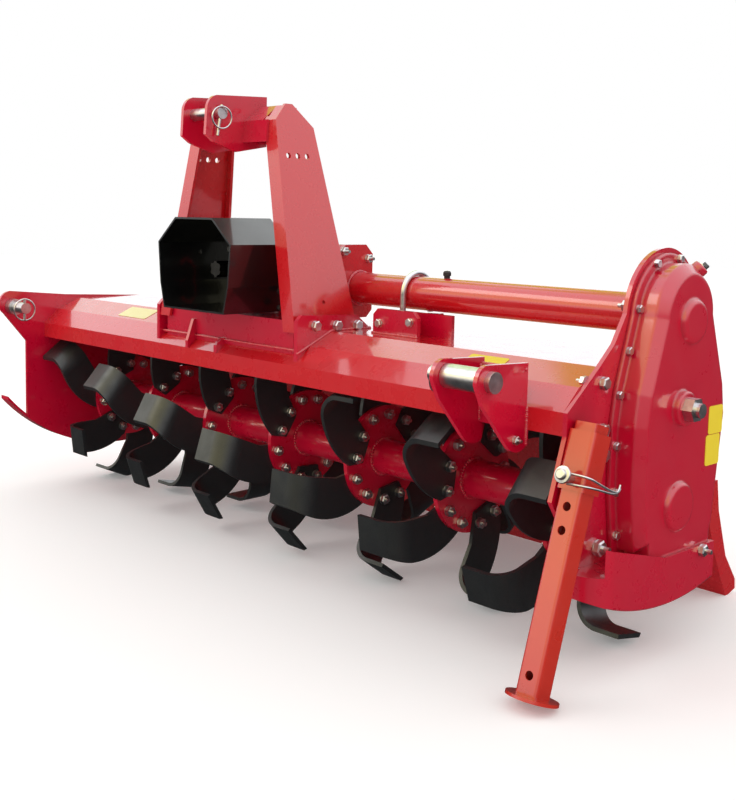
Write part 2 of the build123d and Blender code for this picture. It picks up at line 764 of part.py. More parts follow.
# ================================================================ bracket and U-bolt under the drive tube
saddle_x = 330.0
with BuildPart() as tube_saddle:
    with BuildSketch(front(drive_tube_y - drive_tube_radius + 4)):
        with BuildLine():
            Polyline((saddle_x - 52, deck_top), (saddle_x + 92, deck_top), (saddle_x + 92, 305),
                     (saddle_x - 52, 305), close=True)
        make_face()
    extrude(amount=8)
    with BuildSketch(front(-40)):
        with BuildLine():
            Polyline((saddle_x - 76, deck_top), (saddle_x + 44, deck_top), (saddle_x + 44, 298),
                     (saddle_x + 32, 310), (saddle_x - 64, 310), (saddle_x - 76, 298), close=True)
        make_face()
    extrude(amount=10)
    with BuildSketch(side(saddle_x - 5)):
        with BuildLine():
            Polyline((-40, deck_top), (70, deck_top), (70, 300), (58, 300), (34, 302), (10, 300),
                     (-40, 300), close=True)
        make_face()
    extrude(amount=10)
save(tube_saddle.part, "tube_saddle")

rod_radius = 6.0
bend_radius = drive_tube_radius + rod_radius + 0.5
u_bolt_x = saddle_x - 36
with BuildPart() as u_bolt:
    front_y, rear_y = drive_tube_y - bend_radius, drive_tube_y + bend_radius
    with BuildLine() as u_path:
        Line((u_bolt_x, front_y, 306), (u_bolt_x, front_y, drive_tube_z))
        ThreePointArc((u_bolt_x, front_y, drive_tube_z), (u_bolt_x, drive_tube_y, drive_tube_z + bend_radius),
                      (u_bolt_x, rear_y, drive_tube_z))
        Line((u_bolt_x, rear_y, drive_tube_z), (u_bolt_x, rear_y, 300))
    with BuildSketch(level(306)):
        with Locations((u_bolt_x, front_y)):
            Circle(rod_radius)
    sweep(path=u_path.wire())
save(u_bolt.part, "u_bolt")

# ================================================================ trailing board
board_left_x = left_plate_x + plate_thick + board_side_gap
board_right_x = right_plate_x - plate_thick - board_side_gap
board_low = -axle_height
board_top = (hinge_y + 4, hinge_z - knuckle_radius)
board_foot = (board_foot_y, board_low)
board_rib = (
    (295, 8), (346, 4), (357, -58), (393, -154), (436, -209),
    (board_rib_rear_y, -229), (412, board_low), board_foot, board_crease,
)
with BuildPart() as trailing_board:
    with BuildSketch(side(board_left_x)):
        with BuildLine():
            board_line = Polyline(board_top, board_crease, board_foot)
            offset(board_line, amount=board_sheet, side=Side.LEFT)
        make_face()
    extrude(amount=board_right_x - board_left_x)
    # ribs at the board's ends
    for left_x in (board_left_x, board_right_x - board_sheet):
        with BuildSketch(side(left_x)):
            with BuildLine():
                Polyline(*board_rib, close=True)
            make_face()
        extrude(amount=board_sheet)
    knuckle_offset = deck_knuckle_width / 2 + knuckle_gap
    for x in hinge_xs:
        for left_x in (x - knuckle_offset - board_knuckle_width, x + knuckle_offset):
            with BuildSketch(side(left_x)):
                with Locations((hinge_y, hinge_z)):
                    Circle(knuckle_radius)
                with BuildLine():
                    Polyline((hinge_y, hinge_z - 10), (hinge_y + 12.5, hinge_z),
                             (board_top[0] + 16, board_top[1] - 28), (board_top[0] + 10, board_top[1] - 26),
                             close=True)
                make_face()
                with Locations((hinge_y, hinge_z)):
                    Circle(hinge_pin_radius + hinge_clearance, mode=Mode.SUBTRACT)
            extrude(amount=board_knuckle_width)
save(trailing_board.part, "trailing_board")

with BuildPart() as hinge_pin:
    with BuildSketch(side(board_left_x)):
        with Locations((hinge_y, hinge_z)):
            Circle(hinge_pin_radius)
    extrude(amount=board_right_x - board_left_x)
save(hinge_pin.part, "board_hinge_pin")

# ================================================================ parking stand
lean = radians(leg_lean)
foot_z = -axle_height + foot_radius * sin(lean)
socket_inner = leg_width + 2 * leg_clearance
socket_outer = socket_inner + 2 * socket_wall
leg_x = right_plate_x + socket_outer / 2


def leg_plane(z):
    """Plane square to the leg where its axis passes a height; sketch x is X."""
    axis_y = foot_y + (z - foot_z) * sin(lean) / cos(lean)
    return Plane(origin=(leg_x, axis_y, z), x_dir=(1, 0, 0), z_dir=(0, sin(lean), cos(lean)))


def across_leg(z):
    """Plane square to the lock pin, through the leg's axis at a height; extrusions go forward."""
    here = leg_plane(z)
    return Plane(origin=here.origin, x_dir=(1, 0, 0), z_dir=-here.y_dir)


leg_length = (leg_top - foot_z) / cos(lean)
with BuildPart() as stand_leg:
    with BuildSketch(leg_plane(foot_z)):
        RectangleRounded(leg_width, leg_width, 6)
        RectangleRounded(leg_width - 2 * leg_wall, leg_width - 2 * leg_wall, 2, mode=Mode.SUBTRACT)
    extrude(amount=leg_length)
    with BuildSketch(leg_plane(foot_z)):
        Circle(foot_radius)
    extrude(amount=foot_thick)
    for z in leg_hole_zs:
        with BuildSketch(across_leg(z)):
            Circle(lock_pin_radius + pin_clearance)
        extrude(amount=leg_width, both=True, mode=Mode.SUBTRACT)
save(stand_leg.part, "stand_leg")

with BuildPart() as stand_socket:
    with BuildSketch(leg_plane(socket_low)):
        RectangleRounded(socket_outer, socket_outer, 8)
        RectangleRounded(socket_inner, socket_inner, 6.5, mode=Mode.SUBTRACT)
    extrude(amount=(socket_high - socket_low) / cos(lean))
    with BuildSketch(across_leg(lock_pin_z)):
        Circle(lock_pin_radius + pin_clearance)
    extrude(amount=socket_outer, mode=Mode.SUBTRACT)
save(stand_socket.part, "stand_socket")

# the lock pin is drawn back, so that the leg is free to slide
with BuildPart() as stand_pin:
    with BuildSketch(across_leg(lock_pin_z).offset(leg_width / 2 + leg_clearance)):
        Circle(lock_pin_radius)
    extrude(amount=lock_pin_length)
save(stand_pin.part, "stand_pin")
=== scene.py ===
# %% [markdown]
# A rotary tiller hangs on a tractor's three-point hitch and digs with a tined rotor.  The steel work
# is already there as a fixed frame: this script loads it, gives every part its finish, and adds what
# is too small for the frame, such as bolts, linch pins, rings, welds and blank plates.  All lengths
# below are in metres unless a name ends in _mm.

# %% Load the frame
from math import cos, pi, radians, sin

import bpy
from mathutils import Matrix, Vector


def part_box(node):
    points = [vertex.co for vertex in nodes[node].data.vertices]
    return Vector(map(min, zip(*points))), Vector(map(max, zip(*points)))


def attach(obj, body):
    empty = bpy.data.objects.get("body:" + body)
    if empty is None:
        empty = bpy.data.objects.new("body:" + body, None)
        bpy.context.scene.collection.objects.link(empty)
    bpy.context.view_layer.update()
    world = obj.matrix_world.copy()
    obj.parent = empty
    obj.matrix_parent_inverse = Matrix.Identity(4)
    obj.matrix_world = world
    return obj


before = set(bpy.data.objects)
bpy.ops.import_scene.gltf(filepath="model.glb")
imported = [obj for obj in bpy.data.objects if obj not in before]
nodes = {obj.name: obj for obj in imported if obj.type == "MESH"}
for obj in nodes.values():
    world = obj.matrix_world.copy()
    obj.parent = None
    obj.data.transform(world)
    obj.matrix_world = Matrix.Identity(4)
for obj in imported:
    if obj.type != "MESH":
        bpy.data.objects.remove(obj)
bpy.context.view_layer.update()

# %% [markdown]
# Everything on the machine is placed from the rotor's axis, as a fitter would measure it.  The axis
# is read from the frame once, and `at` turns a place in millimetres from that axis into the frame.

# %% Measure from the rotor's axis
tines_low, tines_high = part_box("tines")
shaft_low, shaft_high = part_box("rotor_shaft")
axis_x = (tines_low.x + tines_high.x) / 2
axis_y = (shaft_low.y + shaft_high.y) / 2
axis_z = (shaft_low.z + shaft_high.z) / 2


def at(x_mm, y_mm, z_mm):
    """Place in the frame of a point given in millimetres from the middle of the rotor's axis."""
    return Vector((axis_x + x_mm / 1000, axis_y + y_mm / 1000, axis_z + z_mm / 1000))


def from_axis(corner):
    """The other way round: millimetres from the rotor's axis of a corner of the frame."""
    return Vector(((corner.x - axis_x) * 1000, (corner.y - axis_y) * 1000, (corner.z - axis_z) * 1000))


def box_mm(node):
    """Lowest and highest corner of a node, in millimetres from the rotor's axis."""
    low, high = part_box(node)
    return from_axis(low), from_axis(high)


print("rotor axis at", round(axis_x, 4), round(axis_y, 4), round(axis_z, 4))

# %% [markdown]
# Materials are node trees.  One small function adds a node, sets its options and fills or links its
# inputs, so that each finish below reads as a short recipe.  Colours are the sRGB values that a
# designer would write down, and one function turns them to the linear values that Blender mixes.

# %% Helpers for the finishes
def linear(hex_colour):
    """Linear RGBA of an sRGB colour such as #C8102E."""
    values = [int(hex_colour[i:i + 2], 16) / 255 for i in (1, 3, 5)]
    return (*[v / 12.92 if v <= 0.04045 else ((v + 0.055) / 1.055) ** 2.4 for v in values], 1.0)


def add_node(tree, kind, settings=None, inputs=None):
    """Add a node, set its options, and fill its inputs with values or link them to sockets."""
    made = tree.nodes.new(kind)
    for name, value in (settings or {}).items():
        setattr(made, name, value)
    for key, value in (inputs or {}).items():
        if isinstance(value, bpy.types.NodeSocket):
            tree.links.new(value, made.inputs[key])
        else:
            made.inputs[key].default_value = value
    return made


def per_mm(size_mm):
    """Scale of a texture whose features are to be about this many millimetres across."""
    return 1000 / size_mm


def new_finish(name):
    """An empty material with its output, its principled shader and object coordinates."""
    material = bpy.data.materials.new(name)
    material.use_nodes = True
    tree = material.node_tree
    tree.nodes.clear()
    output = add_node(tree, "ShaderNodeOutputMaterial")
    shader = add_node(tree, "ShaderNodeBsdfPrincipled")
    tree.links.new(shader.outputs["BSDF"], output.inputs["Surface"])
    place = add_node(tree, "ShaderNodeTexCoord").outputs["Object"]
    return material, tree, shader, place


# %% [markdown]
# The steel work is sprayed with a glossy alkyd enamel.  The eye sees three things: a deep colour that
# shifts a little from panel to panel, a soft orange-peel ripple a few millimetres wide, and
# reflections that turn upward faces pale.  A noise about 150 mm wide moves the colour, a finer one
# moves the gloss, and a bump makes the ripple.  The clear coat over it gives the sharp reflections.
# Castings and the large bent sheets each take their own batch of paint.  The stand takes its own too: red
# warmed to orange as painted warm light, for the warm light on its front face.

# %% Enamel
def enamel(name, deep, warm, gloss, peel_mm=5.0, peel_height=0.00003, round_mm=0):
    """Sprayed enamel between two close colours; on a casting the corners look rounded by round_mm."""
    material, tree, shader, place = new_finish(name)
    drift = add_node(tree, "ShaderNodeTexNoise", None,
                     {"Vector": place, "Scale": per_mm(150), "Detail": 3.0, "Roughness": 0.55})
    colour = add_node(tree, "ShaderNodeMix", {"data_type": "RGBA"},
                      {"Factor": drift.outputs["Fac"], 6: linear(deep), 7: linear(warm)})
    handling = add_node(tree, "ShaderNodeTexNoise", None,
                        {"Vector": place, "Scale": per_mm(45), "Detail": 5.0, "Roughness": 0.6})
    rough = add_node(tree, "ShaderNodeMapRange", None,
                     {"Value": handling.outputs["Fac"], "From Min": 0.3, "From Max": 0.7,
                      "To Min": gloss - 0.04, "To Max": gloss + 0.07})
    peel = add_node(tree, "ShaderNodeTexNoise", None,
                    {"Vector": place, "Scale": per_mm(peel_mm), "Detail": 2.0})
    bump = add_node(tree, "ShaderNodeBump", None,
                    {"Height": peel.outputs["Fac"], "Distance": peel_height, "Strength": 0.35})
    if round_mm:
        rounded = add_node(tree, "ShaderNodeBevel", {"samples": 8}, {"Radius": round_mm / 1000})
        tree.links.new(rounded.outputs["Normal"], bump.inputs["Normal"])
        tree.links.new(bump.outputs["Normal"], shader.inputs["Coat Normal"])
    tree.links.new(colour.outputs[2], shader.inputs["Base Color"])
    tree.links.new(rough.outputs["Result"], shader.inputs["Roughness"])
    tree.links.new(bump.outputs["Normal"], shader.inputs["Normal"])
    shader.inputs["IOR"].default_value = 1.5
    shader.inputs["Coat Weight"].default_value = 1.0
    shader.inputs["Coat Roughness"].default_value = 0.07
    shader.inputs["Coat IOR"].default_value = 1.6
    return material


red_enamel = enamel("red_enamel", "#C00030", "#C80528", 0.28)
casting_enamel = enamel("casting_enamel", "#BE002E", "#C40428", 0.30, peel_mm=7.0, peel_height=0.00006,
                        round_mm=7)
# Painted warm light: the stand's red enamel is warmed to orange to stand in for the warm light on its front
# face.
stand_enamel_warm_light = enamel("stand_enamel_warm_light", "#C01C0A", "#CC2A10", 0.30)
deck_enamel = enamel("deck_enamel", "#C40A22", "#CA1C18", 0.26)
black_enamel = enamel("black_enamel", "#060708", "#0A0B0C", 0.34)

# %% [markdown]
# The tines are forged, hardened and dipped in black paint.  The paint is thin, so the forging's slow
# waves and scale show through as soft grey glints.  Two bumps do this: one 25 mm wide for the waves
# and one 2 mm wide for the scale.

# %% Tine paint
def forged_black(name):
    """Thin black paint on a forging, with slow waves and fine scale."""
    material, tree, shader, place = new_finish(name)
    waves = add_node(tree, "ShaderNodeTexNoise", None, {"Vector": place, "Scale": per_mm(25), "Detail": 2.0})
    scale = add_node(tree, "ShaderNodeTexNoise", None, {"Vector": place, "Scale": per_mm(2.5), "Detail": 4.0})
    tint = add_node(tree, "ShaderNodeMix", {"data_type": "RGBA"},
                    {"Factor": scale.outputs["Fac"], 6: linear("#111213"), 7: linear("#2A2D2F")})
    rough = add_node(tree, "ShaderNodeMapRange", None,
                     {"Value": waves.outputs["Fac"], "From Min": 0.3, "From Max": 0.7,
                      "To Min": 0.34, "To Max": 0.52})
    slow = add_node(tree, "ShaderNodeBump", None,
                    {"Height": waves.outputs["Fac"], "Distance": 0.0006, "Strength": 0.5})
    fine = add_node(tree, "ShaderNodeBump", None,
                    {"Height": scale.outputs["Fac"], "Distance": 0.00012, "Strength": 0.5,
                     "Normal": slow.outputs["Normal"]})
    tree.links.new(tint.outputs[2], shader.inputs["Base Color"])
    tree.links.new(rough.outputs["Result"], shader.inputs["Roughness"])
    tree.links.new(fine.outputs["Normal"], shader.inputs["Normal"])
    shader.inputs["IOR"].default_value = 1.55
    shader.inputs["Coat Weight"].default_value = 0.25
    shader.inputs["Coat Roughness"].default_value = 0.3
    return material


tine_black = forged_black("tine_black")

# %% [markdown]
# Pins, nuts, rings and the U-bolt are bright zinc plate: a pale metal with a faint cloudy spangle.
# The input shaft is bare turned steel, whose tool marks run round its axis, so its ripple is a wave
# texture with bands at even steps along that axis.  Both are metals, so they keep the default IOR.

# %% Zinc plate and turned steel
def zinc(name):
    """Bright zinc plate with a faint spangle."""
    material, tree, shader, place = new_finish(name)
    clouds = add_node(tree, "ShaderNodeTexNoise", None, {"Vector": place, "Scale": per_mm(9), "Detail": 4.0})
    tint = add_node(tree, "ShaderNodeMix", {"data_type": "RGBA"},
                    {"Factor": clouds.outputs["Fac"], 6: linear("#B9B7BA"), 7: linear("#EDEBEC")})
    rough = add_node(tree, "ShaderNodeMapRange", None,
                     {"Value": clouds.outputs["Fac"], "To Min": 0.24, "To Max": 0.42})
    grain = add_node(tree, "ShaderNodeTexNoise", None, {"Vector": place, "Scale": per_mm(0.8), "Detail": 2.0})
    bump = add_node(tree, "ShaderNodeBump", None,
                    {"Height": grain.outputs["Fac"], "Distance": 0.00003, "Strength": 0.5})
    tree.links.new(tint.outputs[2], shader.inputs["Base Color"])
    tree.links.new(rough.outputs["Result"], shader.inputs["Roughness"])
    tree.links.new(bump.outputs["Normal"], shader.inputs["Normal"])
    shader.inputs["Metallic"].default_value = 1.0
    return material


def turned_steel(name, centre):
    """Bare steel with turning marks at equal steps along Y from a centre."""
    material, tree, shader, place = new_finish(name)
    centred = add_node(tree, "ShaderNodeMapping", None,
                       {"Vector": place, "Location": (-centre.x, -centre.y, -centre.z)})
    rings = add_node(tree, "ShaderNodeTexWave", {"wave_type": "BANDS", "bands_direction": "Y"},
                     {"Vector": centred.outputs["Vector"], "Scale": per_mm(1.6) / 6.28, "Distortion": 0.6})
    oil = add_node(tree, "ShaderNodeTexNoise", None, {"Vector": place, "Scale": per_mm(20), "Detail": 3.0})
    tint = add_node(tree, "ShaderNodeMix", {"data_type": "RGBA"},
                    {"Factor": oil.outputs["Fac"], 6: linear("#2E2B28"), 7: linear("#5C5A57")})
    bump = add_node(tree, "ShaderNodeBump", None,
                    {"Height": rings.outputs["Fac"], "Distance": 0.00005, "Strength": 0.4})
    tree.links.new(tint.outputs[2], shader.inputs["Base Color"])
    tree.links.new(bump.outputs["Normal"], shader.inputs["Normal"])
    shader.inputs["Metallic"].default_value = 1.0
    shader.inputs["Roughness"].default_value = 0.33
    return material


zinc_plate = zinc("zinc_plate")
shaft_low_corner, shaft_high_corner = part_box("pto_shaft")
input_centre = (shaft_low_corner + shaft_high_corner) / 2
input_steel = turned_steel("input_steel", input_centre)

# %% [markdown]
# Three small finishes are left: the seal's nitrile rubber, the plates' vinyl, which is smooth with a
# slight sheen, and the black oxide of the guard's bolts, the breather and the filler cap, which is
# dull and slightly brown.  One function makes all of them, because they differ only in their values.

# %% Rubber, vinyl and black oxide
def plain_finish(name, dark, light, roughness, size_mm, metallic=0.0, height=0.00003):
    """A quiet finish: two close colours, one noise of a real size, and its bump."""
    material, tree, shader, place = new_finish(name)
    noise = add_node(tree, "ShaderNodeTexNoise", None,
                     {"Vector": place, "Scale": per_mm(size_mm), "Detail": 4.0})
    tint = add_node(tree, "ShaderNodeMix", {"data_type": "RGBA"},
                    {"Factor": noise.outputs["Fac"], 6: linear(dark), 7: linear(light)})
    bump = add_node(tree, "ShaderNodeBump", None,
                    {"Height": noise.outputs["Fac"], "Distance": height, "Strength": 0.5})
    tree.links.new(tint.outputs[2], shader.inputs["Base Color"])
    tree.links.new(bump.outputs["Normal"], shader.inputs["Normal"])
    shader.inputs["Roughness"].default_value = roughness
    shader.inputs["Metallic"].default_value = metallic
    return material


nitrile = plain_finish("nitrile", "#101010", "#1C1B1A", 0.6, 3.0)
yellow_vinyl = plain_finish("yellow_vinyl", "#E3C81A", "#EBD22C", 0.38, 12.0)
pale_vinyl = plain_finish("pale_vinyl", "#E9DE9A", "#F0E8B4", 0.30, 12.0)
black_oxide = plain_finish("black_oxide", "#2B2628", "#4A4446", 0.45, 4.0, metallic=0.6)

# %% [markdown]
# Each node of the frame now gets its finish.  The frame's meshes stay as they are: only the material
# in the object's slot changes.

# %% Dress the frame
finish_of = {
    "deck": deck_enamel, "trailing_board": deck_enamel, "drive_tube": deck_enamel,
    "right_mast": deck_enamel, "left_mast": deck_enamel, "rotor_shaft": red_enamel, "tines": tine_black,
    "gear_case": casting_enamel, "gearbox": casting_enamel, "left_bearing": casting_enamel,
    # Painted warm light: the stand gets the red enamel warmed to orange.
    "stand_leg": stand_enamel_warm_light, "stand_socket": stand_enamel_warm_light, "pto_guard": black_enamel,
    "pto_shaft": input_steel, "input_seal": nitrile,
}
for zinc_node in ("idler_nut", "top_pin", "right_lower_pin", "right_pin_sleeve", "left_lower_pin",
                  "left_pin_sleeve", "u_bolt", "board_hinge_pin", "stand_pin"):
    finish_of[zinc_node] = zinc_plate
for name, node in nodes.items():
    node.data.materials.clear()
    node.data.materials.append(finish_of.get(name, red_enamel))
print("dressed", len(nodes), "nodes")

# %% [markdown]
# Bolts repeat by the hundred, so one Geometry Nodes tree makes them all.  It reads a cloud of points,
# each with the direction its bolt faces and its size across the flats, puts a washer, a chamfered
# hexagon and a short stud on each, and realizes them.  A fixed seed turns each bolt about its own
# axis, because a fitter never lines them up.

# %% The bolt tree
def bolt_tree(name, metal):
    """A node tree that puts a hexagon bolt on every point of its input mesh."""
    tree = bpy.data.node_groups.new(name, "GeometryNodeTree")
    tree.interface.new_socket("Geometry", in_out="INPUT", socket_type="NodeSocketGeometry")
    for label, value in (("Head height", 0.36), ("Washer width", 1.12), ("Washer height", 0.09),
                         ("Stud length", 0.30), ("Stud width", 0.42)):
        socket = tree.interface.new_socket(label, in_out="INPUT", socket_type="NodeSocketFloat")
        socket.default_value = value
    tree.interface.new_socket("Geometry", in_out="OUTPUT", socket_type="NodeSocketGeometry")
    given = add_node(tree, "NodeGroupInput").outputs
    result = add_node(tree, "NodeGroupOutput")

    def lifted(mesh, height):
        """A primitive moved up the bolt's axis."""
        place = add_node(tree, "ShaderNodeCombineXYZ", None, {"Z": height})
        moved = add_node(tree, "GeometryNodeTransform", None,
                         {"Geometry": mesh, "Translation": place.outputs["Vector"]})
        return moved.outputs["Geometry"]

    def worked_out(operation, first, second):
        """The result of a sum of two of the tree's values."""
        return add_node(tree, "ShaderNodeMath", {"operation": operation}, {0: first, 1: second}).outputs[0]

    across = 1 / (2 * cos(pi / 6))
    washer = add_node(tree, "GeometryNodeMeshCylinder", None,
                      {"Vertices": 20, "Radius": worked_out("MULTIPLY", given["Washer width"], 0.5),
                       "Depth": given["Washer height"]})
    washer_mesh = lifted(washer.outputs["Mesh"], worked_out("MULTIPLY", given["Washer height"], 0.5))
    flats = add_node(tree, "GeometryNodeMeshCylinder", None,
                     {"Vertices": 6, "Radius": across, "Depth": given["Head height"]})
    flats_middle = worked_out("MULTIPLY_ADD", given["Head height"], 0.5)
    flats_middle.node.inputs[2].default_value = 0.0
    flats_place = worked_out("ADD", flats_middle, given["Washer height"])
    flats_mesh = lifted(flats.outputs["Mesh"], flats_place)
    top = worked_out("ADD", given["Head height"], given["Washer height"])
    chamfer = add_node(tree, "GeometryNodeMeshCone", None,
                       {"Vertices": 6, "Radius Top": across * 0.80, "Radius Bottom": across, "Depth": 0.09})
    chamfer_mesh = lifted(chamfer.outputs["Mesh"], top)
    stud = add_node(tree, "GeometryNodeMeshCylinder", None,
                    {"Vertices": 12, "Radius": worked_out("MULTIPLY", given["Stud width"], 0.5),
                     "Depth": given["Stud length"]})
    stud_middle = worked_out("MULTIPLY", given["Stud length"], 0.5)
    stud_mesh = lifted(stud.outputs["Mesh"], worked_out("ADD", top, stud_middle))
    joined = add_node(tree, "GeometryNodeJoinGeometry")
    for mesh in (washer_mesh, flats_mesh, chamfer_mesh, stud_mesh):
        tree.links.new(mesh, joined.inputs["Geometry"])

    facing = add_node(tree, "GeometryNodeInputNamedAttribute", {"data_type": "FLOAT_VECTOR"},
                      {"Name": "facing"})
    flats_size = add_node(tree, "GeometryNodeInputNamedAttribute", {"data_type": "FLOAT"}, {"Name": "flats"})
    aimed = add_node(tree, "FunctionNodeAlignRotationToVector", {"axis": "Z"},
                     {"Vector": facing.outputs["Attribute"]})
    chance = add_node(tree, "FunctionNodeRandomValue", {"data_type": "FLOAT"}, {"Seed": 7})
    chance.inputs[2].default_value = 0.0
    chance.inputs[3].default_value = pi / 3
    spin = add_node(tree, "FunctionNodeAxisAngleToRotation", None,
                    {"Axis": (0.0, 0.0, 1.0), "Angle": chance.outputs[1]})
    turned = add_node(tree, "FunctionNodeRotateRotation", {"rotation_space": "LOCAL"},
                      {"Rotation": aimed.outputs["Rotation"], "Rotate By": spin.outputs["Rotation"]})
    points = add_node(tree, "GeometryNodeMeshToPoints", None, {"Mesh": given["Geometry"]})
    placed = add_node(tree, "GeometryNodeInstanceOnPoints", None,
                      {"Points": points.outputs["Points"], "Instance": joined.outputs["Geometry"],
                       "Rotation": turned.outputs["Rotation"], "Scale": flats_size.outputs["Attribute"]})
    real = add_node(tree, "GeometryNodeRealizeInstances", None, {"Geometry": placed.outputs["Instances"]})
    painted = add_node(tree, "GeometryNodeSetMaterial", None,
                       {"Geometry": real.outputs["Geometry"], "Material": metal})
    tree.links.new(painted.outputs["Geometry"], result.inputs["Geometry"])
    return tree


def set_input(modifier, label, value):
    """Set a Geometry Nodes input by its socket's identifier."""
    for item in modifier.node_group.interface.items_tree:
        if item.name == label and item.in_out == "INPUT":
            modifier[item.identifier] = value


def bolts(name, body, places, metal, **sizes):
    """Bolts on one body; places holds (point, direction it faces, size across the flats in mm)."""
    cloud = bpy.data.meshes.new(name + "_points")
    cloud.from_pydata([place for place, _, _ in places], [], [])
    cloud.attributes.new("facing", "FLOAT_VECTOR", "POINT")
    cloud.attributes.new("flats", "FLOAT", "POINT")
    for i, (_, direction, size_mm) in enumerate(places):
        cloud.attributes["facing"].data[i].vector = Vector(direction).normalized()
        cloud.attributes["flats"].data[i].value = size_mm / 1000
    holder = bpy.data.objects.new(name + "_holder", cloud)
    bpy.context.scene.collection.objects.link(holder)
    modifier = holder.modifiers.new("bolts", "NODES")
    modifier.node_group = bolt_tree(name + "_tree", metal)
    for label, value in sizes.items():
        set_input(modifier, label.replace("_", " ").capitalize(), value)
    bpy.context.view_layer.update()
    ready = holder.evaluated_get(bpy.context.evaluated_depsgraph_get())
    mesh = bpy.data.meshes.new_from_object(ready)
    bpy.data.objects.remove(holder)
    made = bpy.data.objects.new(name, mesh)
    bpy.context.scene.collection.objects.link(made)
    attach(made, body)
    print(name, len(places), "bolts,", len(mesh.polygons), "faces")


# %% [markdown]
# Each tine is held by two bolts near its flange's rim, so a flange has twelve at equal steps.  Two
# neighbours in four lie on the shank of a tine on one side, and the next two on the other side, so
# their heads and nuts stand off the flange there by the shank's thickness.

# %% Bolts of the rotor's flanges
flange_count, flange_pitch_mm, flange_half_mm = 7, 240.0, 5.0
shank_top_mm = flange_half_mm + 8.1
bolt_circle_mm, bolts_per_flange, tine_bolt_flats_mm = 88.0, 12, 19.0
first_bolt, flange_stagger = 156.5, 12.0
heads, nuts = [], []
for number in range(flange_count):
    flange_x = (number - (flange_count - 1) / 2) * flange_pitch_mm
    for k in range(bolts_per_flange):
        angle = radians(first_bolt + number * flange_stagger + k * 360 / bolts_per_flange)
        y_mm, z_mm = bolt_circle_mm * cos(angle), bolt_circle_mm * sin(angle)
        on_right = k % 4 >= 2
        right_x = flange_x + (shank_top_mm if on_right else flange_half_mm)
        left_x = flange_x - (flange_half_mm if on_right else shank_top_mm)
        nuts.append((at(right_x, y_mm, z_mm), (1, 0, 0), tine_bolt_flats_mm))
        heads.append((at(left_x, y_mm, z_mm), (-1, 0, 0), tine_bolt_flats_mm))
bolts("rotor_nuts", "rotor", nuts, zinc_plate, stud_length=0.42)
bolts("rotor_bolt_heads", "rotor", heads, zinc_plate, stud_length=0.001)

# %% [markdown]
# The rest of the machine is bolted together with zinc plated bolts.  A table lists each joint as
# points on one face, in millimetres from the rotor's axis, with the way the face looks and the size
# across the flats.  Nuts with a length of thread come from a second table.

# %% Bolts of the frame
plate_face = box_mm("right_end_plate")[1].x
flange_face = plate_face + 8.0
left_face = box_mm("left_end_plate")[0].x
tube_flange = box_mm("drive_tube")[0].x
saddle_low = box_mm("tube_saddle")[0]
right_bracket_face = box_mm("right_mast_bracket")[1].x
left_bracket_face = box_mm("left_mast_bracket")[0].x
gearbox_low, gearbox_high = box_mm("gearbox")
guard_low, guard_high = box_mm("pto_guard")
gearbox_x = (guard_low.x + guard_high.x) / 2
case_front = ((-66, -18), (-72, 55), (-76, 131), (-74, 214), (-52, 284), (-27, 351), (20, 424))
case_rear = ((91, 431), (138, 378), (165, 300), (188, 225), (198, 160), (190, 80), (178, -18))
head_rows = (
    # joint,               x of the face,      way, flats, points
    ("case_bolts", flange_face, 1, 13.0, case_front + case_rear),
    ("plate_bolts", plate_face, 1, 19.0, ((-108, 236), (-104, 160), (-101, 119))),
    ("bracket_bolts_right", right_bracket_face, 1, 19.0, ((-145, 273), (-87, 271), (-30, 269))),
    ("bracket_bolts_left", left_bracket_face, -1, 19.0, ((-145, 273), (-87, 271), (-30, 269))),
    ("left_bearing_bolts", left_face, -1, 17.0, ((0, 78), (78, 0), (0, -78), (-78, 0))),
)
for joint, x_mm, way, flats_mm, points in head_rows:
    bolts(joint, "frame", [(at(x_mm, y, z), (way, 0, 0), flats_mm) for y, z in points], zinc_plate,
          stud_length=0.001)
nut_rows = (
    # joint,             x,                   points (y, z),                     way, flats
    ("inner_nuts", plate_face - 8.0, ((-33, 355), (-141, 240), (150, 300)), -1, 17.0),
    ("tube_flange_nuts", tube_flange + 12.0, ((58, 402), (-14, 418), (-14, 290)), 1, 17.0),
    ("pan_nuts", box_mm("gear_pan")[1].x, ((120, -66),), 1, 19.0),
    ("pan_front_nut", plate_face, ((-106, -32),), 1, 24.0),
    ("lower_link_nuts", box_mm("right_lower_bracket")[1].x, ((-228, 146),), 1, 13.0),
)
for joint, x_mm, points, way, flats_mm in nut_rows:
    bolts(joint, "frame", [(at(x_mm, y, z), (way, 0, 0), flats_mm) for y, z in points], zinc_plate,
          stud_length=0.6)
facing_front = [(at(saddle_low.x + dx, -50, z), (0, -1, 0), 15.0) for dx, z in ((18, 281), (102, 289))]
facing_front += [(at(gearbox_x + dx, gearbox_low.y, z), (0, -1, 0), 13.0)
                 for dx, z in ((-70, 300), (70, 300), (-70, 415), (70, 415))]
facing_back = [(at(gearbox_x + dx, gearbox_high.y, z), (0, 1, 0), 13.0)
               for dx, z in ((-50, 300), (0, 294), (50, 300), (-50, 410), (0, 416), (50, 410))]
bolts("front_bolts", "frame", facing_front, zinc_plate, stud_length=0.001)
bolts("rear_cover_bolts", "frame", facing_back, zinc_plate, stud_length=0.001)
base_places = [(at(gearbox_x + dx, y, 270), (0, 0, 1), 17.0)
               for dx in (-102, 102) for y in (-85, -8, 62)]
bolts("gearbox_base_bolts", "frame", base_places, zinc_plate, stud_length=0.001)
guard_places = [(at(x, -140, z), (way, 0, 0), 13.0)
                for x, way in ((guard_high.x, 1), (guard_low.x, -1)) for z in (300, 335)]
bolts("guard_bolts", "frame", guard_places, black_oxide, stud_length=0.001)

# %% [markdown]
# Round pieces such as bosses, plugs and washers are turned on a lathe, so the script does the same: a
# profile of radius and height is spun about the piece's axis, which may point anywhere.  Rings and
# bails are bent wire: a curve with a round bevel, turned into a mesh.

